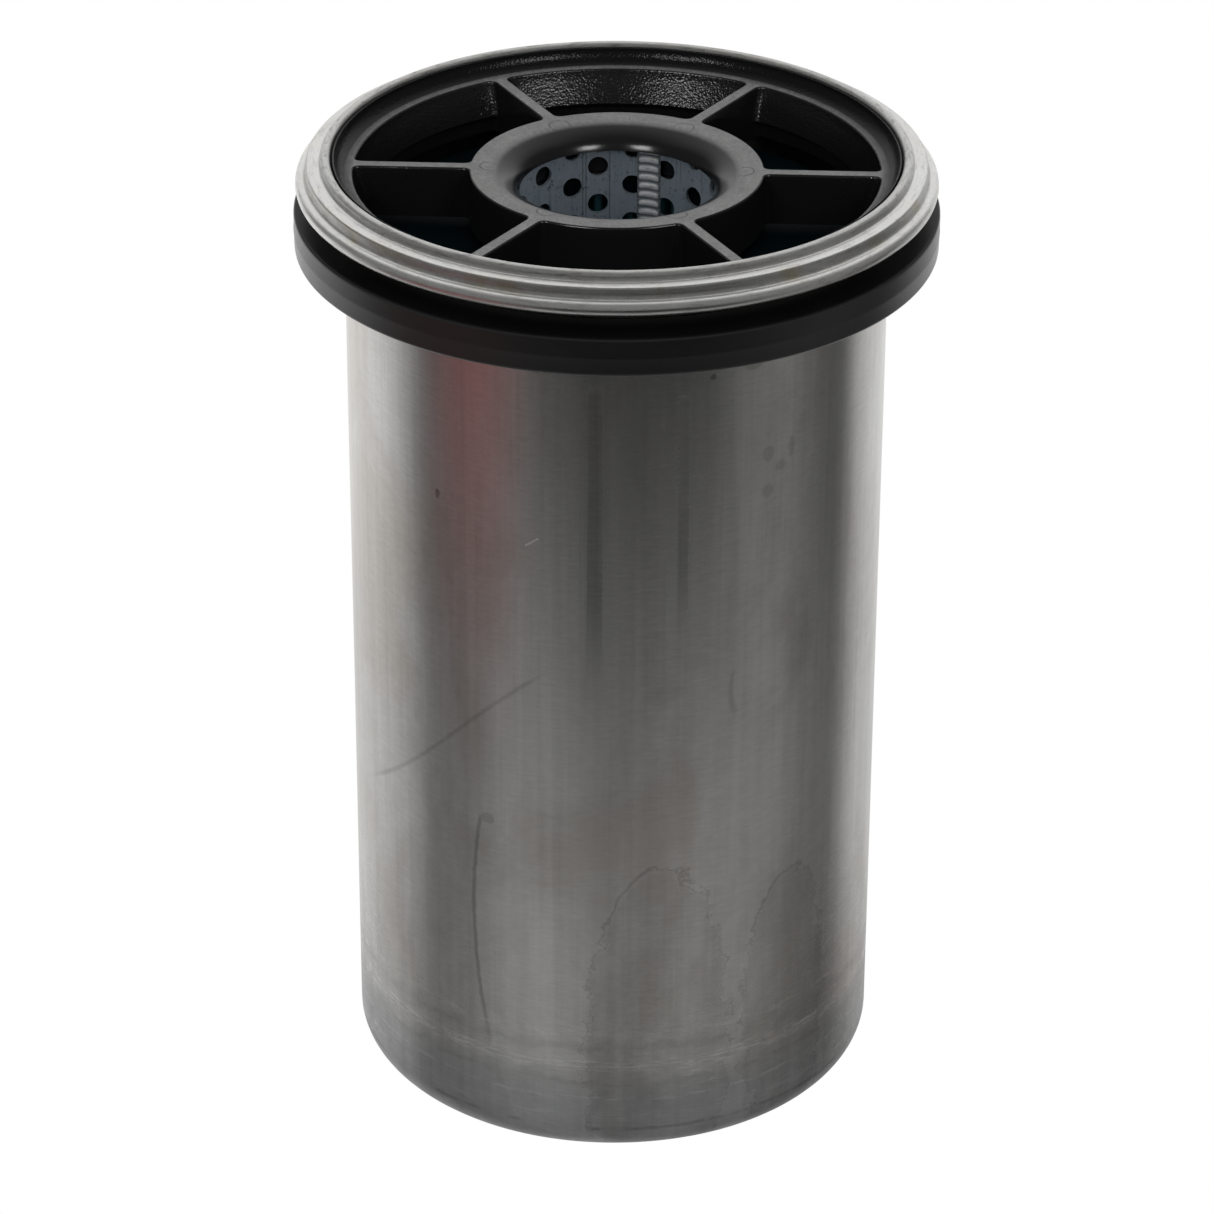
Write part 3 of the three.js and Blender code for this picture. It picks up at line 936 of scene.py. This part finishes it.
def can_marks(m):
    """The small marks, each with how much it lightens or darkens the steel."""
    outlines, insides = zip(
        m.drip(10, 24, 16, 40),
        m.drip(41, 27, 12, 30, 0.03),
        m.drip(-150, 40, 22, 50),
        m.drip(112, 28, 18, 44),
    )
    run, film = m.run()
    lines = m.most(*outlines) * 0.8, m.slant() * 0.65, run, m.spot(-28, 71.5, 1.8, 1.2) * 0.7
    dark = m.most(m.spot(-40, 136, 0.6, 1.1), m.spot(20, 163.6, 0.7, 0.6))
    dim = m.most(m.spot(29, 165, 2.6, 1.6), m.spot(-16.5, 165, 0.7, 0.5)) * 0.5
    faint = m.spot(33, 146, 1.5, 1.7), m.spot(36.2, 143, 1.3, 1.0)
    faint += m.spot(33, 138.6, 1.5, 1.4), m.spot(39, 146, 0.8, 2.2)
    half_moon = m.spot(26, 99, 1.6, 5.0) * m.oval(27.6, 100, 2.2, 5.6).ease(0.8, 1.1)
    nicks = m.noise((1.2, 1.2, 1.8), 4, 0.8).ease(0.70, 0.76) * m.z.ease(8, 60, 1.0, 0.1)
    crease = m.ring(6.2, 0.7, 1) * m.cloud.ease(0.42, 0.58)
    dark_rings = m.most(m.ring(24.5, 1.6), m.ring(16.5, 1.0)) * m.cloud.ease(0.40, 0.60)
    return [
        (m.most(*insides), -0.11),
        (m.most(*lines), -0.30),
        (m.most(dark, dim), -0.45),
        (m.most(*faint), -0.17),
        (film, -0.07),
        (half_moon, -0.16),
        (nicks, 0.4),
        (m.scratch(), 0.5),
        (crease, -0.3),
        (dark_rings, -0.16),
    ]


def can_steel():
    """Hairlines round the can, streaks along it, a duller blue foot, drips, runs and scuffs."""
    m = CanSheet()
    along = m.noise((0.5, 0.5, 0.010), 4, 0.7)
    folds = m.noise((0.10, 0.10, 0.012), 3, 0.6)
    patina = m.noise((0.035, 0.035, 0.022), 5, 0.6, warp=0.6)
    rubbed = m.most(m.streak(-4.3, 1.9, 100, 164, 24), m.streak(14, 1.3, 108, 162, 22) * 0.8)
    scuffs, wear = m.scuffs(), m.wear()
    foot = (m.z + m.wobble.swing(9)).fade(11, 23)
    dull = m.z.fade(16, 60)

    clean = (0.56, 0.553, 0.54)
    brown = (0.47, 0.44, 0.405)
    blue = (0.48, 0.487, 0.49)
    colour = m.mix(m.mix(clean, brown, patina.ease(0.40, 0.66) * 0.8), blue, foot * 0.75)
    tone = along.swing(0.34) + m.hair.swing(0.30) + m.grain.swing(0.10) + folds.swing(0.36)
    tone += m.cloud.swing(dull * 0.42 + 0.12) + 1.04
    for mark, change in [*can_marks(m), (rubbed, -0.40), (scuffs, 0.55), (wear, 0.60), (foot, -0.06)]:
        tone += mark * change

    rough = patina * 0.05 + m.grain * 0.04 + foot * 0.06 + scuffs * 0.15 + 0.20
    rough += rubbed * 0.1 + wear * 0.15 + dull * 0.03
    m.bump(m.hair + m.grain * 0.6 + along * 0.4, 0.008)
    m.hairlines(0.93)
    return m.finish(m.shade(colour, tone), rough, 1.0)


def rim_steel():
    """Rolled edge: turning lines round it, a burnished land, a yellowish film in the groove, and painted
    shade that darkens the crest and the groove.
    """
    m = Recipe("rim_steel")
    across = m.radius()
    swirl = m.node("CombineXYZ", (across * 3.0, m.angle() * 9.0, m.z * 3.0))
    lines = m.noise(1, 5, 0.75, place=swirl)
    arcs = m.noise((0.5, 1.6, 0.5), 5, 0.75, place=swirl, warp=0.3)
    cloud = m.noise(0.07, 5, 0.6, warp=0.6)
    grit = m.noise(2.4, 4, 0.75)
    silver = (0.68, 0.677, 0.665)
    straw = (0.56, 0.51, 0.38)
    grey = (0.33, 0.325, 0.32)
    groove = across.near(STEP_R + 0.1, 0.1, 0.6)
    crest = across.fade(CREST_R - 0.3, CREST_R + 0.3)
    film = cloud.ease(0.45, 0.65) * (groove * 0.7 + 0.15)
    # Grey wear marks, made stronger on the crest, where they add to its painted shade.
    wear_and_crest_shade = arcs.ease(0.50, 0.68) * (crest * 0.4 + 0.5)
    colour = m.mix(m.mix(silver, straw, film), grey, wear_and_crest_shade)
    # Painted shade: the crest and the groove are made darker.
    tone = lines.swing(0.5) + grit.swing(0.4) - crest * 0.2 - groove * 0.2 + 1.0
    m.bump(lines + arcs * 0.5 + grit * 0.6, 0.024)
    m.hairlines(0.3)
    rough = lines * 0.12 + arcs * 0.12 + groove * 0.1 + crest * 0.12 + 0.18
    return m.finish(m.shade(colour, tone), rough, 1.0)


def zinc_steel():
    """Dull blue-grey plating with dark scuffs and lines along the tube."""
    m = Recipe("zinc_steel")
    cloud = m.noise((0.25, 0.25, 0.12), 4, 0.6)
    scuff = m.noise((0.8, 0.8, 0.7), 5, 0.85).ease(0.555, 0.64)
    along = m.noise((1.6, 1.6, 0.03), 4, 0.75)
    line = m.noise((2.6, 2.6, 0.05), 2, 0.5).ease(0.66, 0.72)
    turn = m.angle() * math.degrees(1) + scuff.swing(0.5)
    for lap in (LAP_TURN - 0.8, LAP_TURN + 1.0, LAP_TURN - 13.5):
        line = m.most(line, turn.near(lap, 0.15, 0.5) * 1.3)
    colour = m.mix((0.48, 0.56, 0.63), (0.62, 0.69, 0.75), cloud)
    tone = along.swing(0.55) - scuff * 0.65 - line * 0.35 + 1.0
    m.bump(cloud + along, 0.02)
    return m.finish(m.shade(colour, tone), cloud * 0.15 + scuff * 0.2 + 0.32, 0.6)


def seam_steel():
    """The crimped seam: its raised bars painted near-white as a painted highlight, dark grey between
    them.
    """
    m = Recipe("seam_steel")
    smear = m.noise((0.8, 0.8, 3.0), 4, 0.7)
    wall = TUBE_R - TUBE_WALL
    raised = m.radius().fade(wall - 0.42, wall - 0.22)
    # Painted highlight: the raised bars get a near-white colour in place of a lamp's reflection.
    painted_bar_highlight = raised * smear.ease(0.30, 0.55, 0.5, 1.0)
    m.bump(smear, 0.04)
    return m.finish(m.mix((0.22, 0.24, 0.26), (0.98, 0.98, 0.98), painted_bar_highlight), smear * 0.15 + 0.22, 0.25)


def spring_steel():
    """Oil-tempered wire, drawn smooth, with small dark blotches."""
    m = Recipe("spring_steel")
    blotch = m.noise(0.5, 4, 0.65)
    m.bump(m.noise(5, 2, 0.5), 0.01)
    return m.finish(m.mix((0.20, 0.20, 0.21), (0.42, 0.41, 0.40), blotch), blotch * 0.2 + 0.24, 1.0)


def black_rubber():
    """Moulded nitrile: smooth skin, faint flow marks and specks of dust."""
    m = Recipe("black_rubber")
    skin = m.noise(0.9, 4, 0.6)
    flow = m.noise((0.10, 0.10, 0.5), 3, 0.6)
    dust = m.noise(1.5, 5, 0.8).ease(0.66, 0.74)
    colour = m.mix((0.005, 0.005, 0.0055), (0.010, 0.0095, 0.0095), flow)
    colour = m.mix(colour, (0.11, 0.11, 0.105), dust * 0.3)
    m.bump(skin + flow * 0.6, 0.004)
    flat = m.facing_up().ease(0.3, 0.9)
    m.put("Specular IOR Level", flat.ease(0, 1, 0.7, 0.08))
    m.put("Sheen Weight", flat.ease(0, 1, 0.5, 0.0))
    m.put("Sheen Roughness", 0.25)
    return m.finish(colour, skin * 0.10 + dust * 0.2 + 0.30)


def pin_marks(m, across):
    """Faint circles moulded on the hub, one at the root of each spoke."""
    sector = 2 * math.pi / SPOKES
    around = m.math("FLOORED_MODULO", m.angle() + sector / 2, sector) - sector / 2
    along = across * m.math("COSINE", around) - PIN_CIRCLE_R
    aside = across * m.math("SINE", around)
    return m.hypot(along, aside).near(PIN_R, 0.04, 0.2)


def black_nylon():
    """Glass-filled moulding: mottled grain on top, pebbled and shinier on the deep walls."""
    m = Recipe("black_nylon")
    fibre = m.noise(1.3, 6, 0.75, warp=1.2)
    grain = m.noise(4, 3, 0.7)
    cloud = m.noise(0.16, 4, 0.6)
    across = m.radius()
    top = m.facing_up().ease(0.92, 0.995)
    mark = pin_marks(m, across) * top
    tone = fibre.ease(0.25, 0.75, 0.35, 1.0) * (cloud * 0.8 + 0.6)
    # Painted shade: the ledge beyond the openings, down in the cove under the rim, is made darker.
    tone *= across.ease(SECTOR_R - 0.2, SECTOR_R + 0.4, 1.0, 0.7)
    # Painted light: surfaces facing up get the lighter grey, the walls stay near black.
    colour = m.mix((0.003, 0.003, 0.0033), (0.15, 0.15, 0.148), top * tone)
    pebble = m.noise(2.5, 1, 0.5) * across.ease(HUB_R, SECTOR_R - 4, 0.12, 0.95)
    height = fibre * 0.8 + grain * 0.6 - mark * 0.9
    m.bump(height * top + pebble * (1.0 - top), 0.09)
    painted_bar_highlight = across.ease(SECTOR_R, SECTOR_R + 1, top.ease(0, 1, 0.24, 0.5), 0.08)
    m.put("Specular IOR Level", painted_bar_highlight)
    # The pin rings are darkened as well as sunk: painted shade in their grooves.
    return m.finish(m.shade(colour, 1.0 - mark * 0.6), cloud * 0.10 + top * 0.35 + 0.13)


def filter_media():
    """Resin-treated sheet: felted fibres, dark blue-green."""
    m = Recipe("filter_media")
    felt = m.noise(2.5, 6, 0.75)
    band = m.noise((0.2, 0.2, 0.6), 3, 0.5)
    m.bump(felt, 0.15)
    return m.finish(m.mix((0.010, 0.060, 0.075), (0.03, 0.13, 0.15), felt), band * 0.2 + 0.72)


def cast_resin():
    """Cured end-cap compound, nearly black, with small bubbles."""
    m = Recipe("cast_resin")
    flow = m.noise(0.15, 3, 0.6, warp=0.8)
    bubble = m.noise(2.2, 2, 0.5).ease(0.70, 0.76)
    m.bump(flow - bubble * 0.8, 0.05)
    m.put("Specular IOR Level", 0.02)
    return m.finish(m.mix((0.001, 0.004, 0.005), (0.002, 0.007, 0.009), flow), flow * 0.12 + 0.50)


# ---- the object

def build_object():
    # A look is a material, and the name that the record gives to that material.
    can, rim = (can_steel(), "can_steel"), (rim_steel(), "rim_steel")
    zinc, seam = (zinc_steel(), "zinc_steel"), (seam_steel(), "zinc_steel")
    wire, rubber = (spring_steel(), "spring_steel"), (black_rubber(), "rubber")
    nylon, media = (black_nylon(), "nylon"), (filter_media(), "media")
    resin = cast_resin(), "potting"

    def part(name, shape, body, look, sharp=40):
        return add_piece("fine_" + name, shape, body, look, (name,), sharp)

    part("can_shell", can_shape(), "canister", can)
    part("rim_ring", rim_shape(), "canister", rim, 60)
    part("flange_gasket", gasket_shape(), "gasket", rubber)
    part("inlet_spider", plate_shape(), "canister", nylon, 30)
    part("centre_tube", tube_shape(), "element", zinc)
    add_piece("tube_lock_seam", seam_shape(), "element", seam, sharp=60)
    part("pleat_pack", pleat_shape(), "element", media)
    part("hub_seal", box_ring("hub_seal", TUBE_R + 0.8, 0.35), "element", rubber)
    part("top_end_cap", top_cap_shape(), "element", resin)
    part("bottom_end_cap", bottom_cap_shape(), "element", zinc)
    for end in ("top_potting", "bottom_potting"):
        part(end, box_ring(end, 22.7), "element", resin)
    for level in ("lower", "middle", "upper"):
        band = "media_band_" + level
        part(band, box_ring(band, reach(band) - 0.6, 0.2), "element", resin)
    part("valve_seat", seat_shape(), "element", zinc)
    part("valve_poppet", poppet_shape(), "poppet", zinc)
    part("valve_washer", box_ring("valve_washer", STEM_R + 0.6, 0.3), "poppet", rubber)
    part("stem_clip", box_ring("stem_clip", STEM_R + FIT, 0.2), "poppet", wire)
    part("spring_cup", cup_shape(), "element", zinc)
    support = part("support_spring", coil_shape("support_spring", 29.5, 2.2, 3.5), "canister", wire)
    squeeze(support, "support_spring", "element_float")
    bypass = part("valve_spring", coil_shape("valve_spring", 8, 1.3, 5), "element", wire)
    squeeze(bypass, "valve_spring", "bypass_lift")

    cage = frame["nodes"]["valve_cage"]
    cage.data.materials.clear()
    cage.data.materials.append(zinc[0])
    bevel = cage.modifiers.new("edges", "BEVEL")
    bevel.width = 0.25 * MM
    bevel.segments = 2
    bevel.limit_method = "ANGLE"


def squeeze(spring, node, joint):
    """Works out how much of the spring's length its joint's longer travel leaves, and gives the spring a
    mesh of its own.
    """
    travel = next(j for j in frame["joints"] if j["name"] == joint)["range_m"]
    length = (high(node) - low(node)) * MM
    keep = 1 - max(abs(value) for value in travel) / length
    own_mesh(spring)


# ---- studio

CAMERA_DISTANCE = 952.0
CAMERA_RISE = 28.2  # degrees above the horizon
CAMERA_AIM = Vector((-1.5, 0, 92.3))
CAMERA_ROLL = 0.22
LENS = 147.6
SENSOR = 36.0


def add_camera():
    data = bpy.data.cameras.new("camera")
    data.lens = LENS
    data.sensor_width = SENSOR
    data.clip_start = 0.05
    data.clip_end = 20
    camera = bpy.data.objects.new("camera", data)
    bpy.context.scene.collection.objects.link(camera)
    rise = math.radians(CAMERA_RISE)
    back = Vector((0, -math.cos(rise), math.sin(rise)))
    view = back.to_track_quat("Z", "Y").to_matrix().to_4x4()
    roll = Matrix.Rotation(math.radians(CAMERA_ROLL), 4, "Z")
    place = Matrix.Translation((CAMERA_AIM + back * CAMERA_DISTANCE) * MM)
    camera.matrix_world = Matrix.Rotation(math.radians(FRONT), 4, "Z") @ place @ view @ roll
    bpy.context.scene.camera = camera


AMBIENT = 0.7  # strength of the soft light from all sides

# Brightness of the surroundings that metal mirrors, by the way a mirrored ray travels, in degrees
# round the part from the viewer's side: first for floor far from the part, then close to it.
SURROUNDINGS = [
    (-180, 1.1, 0.95),
    (-150, 1.05, 0.82),
    (-120, 0.95, 0.68),
    (-103, 0.50, 0.52),
    (-89, 0.10, 0.20),
    (-70, 0.10, 0.26),
    (-45, 0.12, 0.42),
    (-28, 0.05, 0.42),
    (-12, 0.0, 0.34),
    (10, 0.0, 0.32),
    (28, 0.0, 0.38),
    (40, 0.02, 0.42),
    (52, 0.12, 0.37),
    (77, 0.25, 0.31),
    (92, 0.15, 0.19),
    (112, 0.05, 0.14),
    (131, 0.72, 0.63),
    (150, 0.85, 0.68),
    (180, 1.1, 0.95),
]


def add_floor():
    """A pale floor, pure white to the camera. Metal mirrors the surroundings in it instead."""
    bpy.ops.mesh.primitive_plane_add(size=6, location=(0, 0, -0.0001))
    floor = bpy.context.object
    floor.name = "floor"
    m = Recipe("pale_floor")
    m.finish((0.86, 0.86, 0.86), 0.9)
    back_x, back_y, back_z = m.parts(m.node("NewGeometry", output="Incoming"))
    travel = m.math("ARCTAN2", back_x * -1, back_y) * math.degrees(1)
    turn = m.math("FLOORED_MODULO", travel + (180 - FRONT), 360) - 180
    away = m.radius()
    far = m.ramp(turn, -180, 180, [(at, level) for at, level, _ in SURROUNDINGS])
    close = m.ramp(turn, -180, 180, [(at, level) for at, _, level in SURROUNDINGS])
    # Painted shadow: what metal mirrors of the floor is darker close to the part.
    level = m.shade(m.mix(close, far, away.ease(150, 345)), away.ease(CAN_R + 2, CAN_R + 55, 0.7, 1.0))
    # Painted reflection: far off at the front left, mirrored rays see the floor glow red, in place of a
    # red card.
    red = turn.near(-63, 0, 35) * away.ease(230, 400) * back_z.near(0.47, 0.08, 0.24)
    mirrored_floor_glow = m.vector("MULTIPLY", level, m.mix((1.0, 1.0, 1.0), (3.3, 0.85, 0.82), red))
    surface = m.either(m.ray("Is Glossy Ray"), Field(m, m.shader.outputs[0]), m.glow(mirrored_floor_glow))
    surface = m.either(m.ray("Is Camera Ray"), surface, m.glow((1.0, 1.0, 1.0)))
    m.join(surface, m.nodes["Material Output"].inputs["Surface"])
    floor.data.materials.append(m.material)


def add_world():
    """White behind the part and for the camera, dim to the sides and in front for mirrored rays."""
    world = bpy.data.worlds.new("studio")
    world.use_nodes = True
    m = Graph(world.node_tree)
    x, y, _ = m.parts(m.node("TexCoord", output="Generated"))
    mirrored = y.ease(-0.3, 0.4) * x.near(0, 0.45, 0.8) * 0.74 + 0.22
    strength = m.ray("Is Glossy Ray") * (mirrored - AMBIENT) + AMBIENT
    background = m.nodes["Background"].inputs
    m.join((1.0, 1.0, 1.0), background["Color"])
    m.join(m.most(strength, m.ray("Is Camera Ray")), background["Strength"])
    bpy.context.scene.world = world


def add_lamp(name, turn, rise, distance, size, power, lit):
    """A small soft lamp on the viewer's side, aimed at the top of the part, for one group only."""
    data = bpy.data.lights.new(name, "AREA")
    data.size = size
    data.energy = power
    lamp = bpy.data.objects.new(name, data)
    bpy.context.scene.collection.objects.link(lamp)
    a, e = math.radians(FRONT + turn), math.radians(rise)
    out = Vector((math.sin(a) * math.cos(e), -math.cos(a) * math.cos(e), math.sin(e)))
    lamp.location = Vector((0, 0, RIM_TOP * MM)) + out * distance
    lamp.rotation_mode = "QUATERNION"
    lamp.rotation_quaternion = out.to_track_quat("Z", "Y")
    lamp.light_linking.receiver_collection = lit


def add_studio():
    bpy.context.scene.view_settings.view_transform = "Standard"
    add_world()
    add_floor()
    glossy_plastic = bpy.data.collections.new("glossy_plastic")
    glossy_plastic.objects.link(bpy.data.objects["fine_inlet_spider"])
    add_lamp("lamp_left", -31, 33, 1.2, 0.36, 8.4, glossy_plastic)
    add_lamp("lamp_right", 35, 33, 1.2, 0.36, 7.6, glossy_plastic)


build_object()
add_studio()
add_camera()
